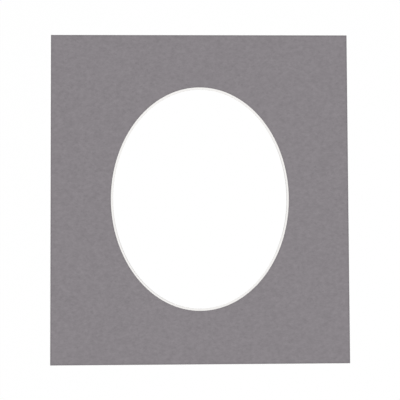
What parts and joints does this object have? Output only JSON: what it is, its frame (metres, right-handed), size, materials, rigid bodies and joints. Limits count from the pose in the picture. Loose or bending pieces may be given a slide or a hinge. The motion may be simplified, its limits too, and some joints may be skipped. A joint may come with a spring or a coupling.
{
  "type": "oval picture mount",
  "caption": "Flat rectangular picture mount of grey-faced board on an ivory core, with an upright oval window cut through it on a slant that shows as a pale line.",
  "frame": {"origin": "middle of the back of the sheet, which is the surface that it lies on", "axes": "+Z out of the coloured face, +Y towards the top of the sheet as it hangs in a frame, +X to the right as the face is looked at"},
  "size_m": [0.2, 0.2214, 0.0016],
  "materials": {
    "ivory_core": "matte",
    "grey_facing": "matte"
  },
  "bodies": {
    "root": {"core_board": "ivory_core", "facing_paper": "grey_facing"}
  },
  "joints": []
}
